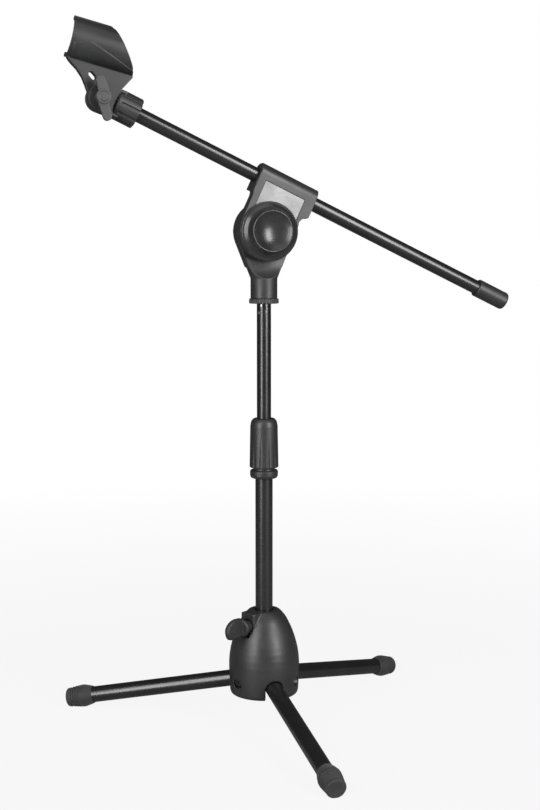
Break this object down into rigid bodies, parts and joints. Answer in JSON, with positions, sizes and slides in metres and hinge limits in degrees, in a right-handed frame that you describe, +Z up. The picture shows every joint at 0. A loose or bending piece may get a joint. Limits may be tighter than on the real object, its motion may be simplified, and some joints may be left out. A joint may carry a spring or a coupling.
{
  "type": "boom microphone stand",
  "caption": "Short black boom microphone stand: bell base with folding legs, twist-clutch pole, tilting boom clamp with round knob, boom rod and tilting microphone clip.",
  "frame": {"origin": "on the floor, on the axis of the pole, between the three feet", "axes": "+Z up along the pole, +X towards the low end of the boom, -Y out of the clamp knob"},
  "size_m": [0.4211, 0.3001, 0.6371],
  "materials": {
    "moulded_black": "fine moulded texture, satin black",
    "black_tube": "gloss black powder-coated tube",
    "black_rubber": "matt black rubber",
    "nylon": "plain black nylon, hidden",
    "zinc_steel": "zinc-plated steel",
    "grey_plate": "smooth light grey inlay",
    "satin_plastic": "satin dark grey plastic"
  },
  "bodies": {
    "base": {"base_housing": "moulded_black", "pole_bush": "nylon", "leg_hinge_pins": "zinc_steel", "thumb_screw_insert": "zinc_steel"},
    "thumb_screw": {"thumb_screw_wing": "moulded_black", "thumb_screw_shank": "zinc_steel"},
    "leg_1": {"leg_1_tube": "black_tube", "leg_1_hinge_plug": "nylon", "leg_1_foot": "black_rubber"},
    "leg_2": {"leg_2_tube": "black_tube", "leg_2_hinge_plug": "nylon", "leg_2_foot": "black_rubber"},
    "leg_3": {"leg_3_tube": "black_tube", "leg_3_hinge_plug": "nylon", "leg_3_foot": "black_rubber"},
    "lower_pole": {"lower_pole_tube": "black_tube", "lower_pole_plug": "nylon", "clutch_collar": "moulded_black"},
    "clutch_grip": {"clutch_grip_sleeve": "moulded_black"},
    "upper_pole": {"upper_pole_tube": "black_tube", "upper_pole_guide": "nylon", "upper_pole_stud": "zinc_steel"},
    "boom_head": {"swivel_neck": "moulded_black", "neck_lock_ring": "moulded_black", "clamp_bolt": "zinc_steel"},
    "boom_clamp": {"boom_clamp_block": "moulded_black", "clamp_label_plate": "grey_plate", "boom_brake_shoe": "nylon"},
    "clamp_knob": {"clamp_knob": "moulded_black", "clamp_knob_insert": "zinc_steel"},
    "boom": {"boom_rod": "black_tube", "boom_end_cap": "moulded_black", "boom_ferrule": "zinc_steel"},
    "clip_base": {"clip_base_socket": "moulded_black", "clip_base_thread": "zinc_steel", "wing_screw_nut": "zinc_steel"},
    "mic_clip": {"mic_clip": "moulded_black"},
    "wing_screw": {"wing_screw_knob": "satin_plastic", "wing_screw_shank": "zinc_steel"}
  },
  "joints": [
    {"name": "thumb_screw_turn", "type": "hinge", "parent": "base", "child": "thumb_screw", "pos_m": [0, 0, 0.095], "axis": [-0.866, -0.5, 0], "continuous": true},
    {"name": "leg_1_fold", "type": "hinge", "parent": "base", "child": "leg_1", "pos_m": [0, -0.0195, 0.04118], "axis": [1, 0, 0], "range_deg": [0, 78]},
    {"name": "leg_2_fold", "type": "hinge", "parent": "base", "child": "leg_2", "pos_m": [0.01689, 0.00975, 0.04118], "axis": [-0.5, 0.866, 0], "range_deg": [0, 78]},
    {"name": "leg_3_fold", "type": "hinge", "parent": "base", "child": "leg_3", "pos_m": [-0.01689, 0.00975, 0.04118], "axis": [-0.5, -0.866, 0], "range_deg": [0, 78]},
    {"name": "lower_pole_slide", "type": "slide", "parent": "base", "child": "lower_pole", "axis": [0, 0, 1], "range_m": [0, 0.025]},
    {"name": "clutch_turn", "type": "hinge", "parent": "lower_pole", "child": "clutch_grip", "pos_m": [0, 0, 0.26], "axis": [0, 0, 1], "continuous": true},
    {"name": "upper_pole_slide", "type": "slide", "parent": "lower_pole", "child": "upper_pole", "axis": [0, 0, 1], "range_m": [-0.08, 0.07]},
    {"name": "head_swivel", "type": "hinge", "parent": "upper_pole", "child": "boom_head", "pos_m": [0, 0, 0.4], "axis": [0, 0, 1], "continuous": true},
    {"name": "boom_tilt", "type": "hinge", "parent": "boom_head", "child": "boom_clamp", "pos_m": [0, 0, 0.4562], "axis": [0, 1, 0], "range_deg": [-70, 55]},
    {"name": "clamp_knob_turn", "type": "hinge", "parent": "boom_clamp", "child": "clamp_knob", "pos_m": [0, 0, 0.4562], "axis": [0, -1, 0], "continuous": true},
    {"name": "boom_slide", "type": "slide", "parent": "boom_clamp", "child": "boom", "axis": [0.9063, 0, -0.4226], "range_m": [-0.17, 0.06]},
    {"name": "clip_base_turn", "type": "hinge", "parent": "boom", "child": "clip_base", "pos_m": [-0.11832, -0.004, 0.55739], "axis": [-0.9063, 0, 0.4226], "continuous": true},
    {"name": "clip_tilt", "type": "hinge", "parent": "clip_base", "child": "mic_clip", "pos_m": [-0.14874, -0.004, 0.56881], "axis": [0, 1, 0], "range_deg": [-110, 8]},
    {"name": "wing_screw_turn", "type": "hinge", "parent": "clip_base", "child": "wing_screw", "pos_m": [-0.14874, -0.004, 0.56881], "axis": [0, -1, 0], "continuous": true}
  ]
}
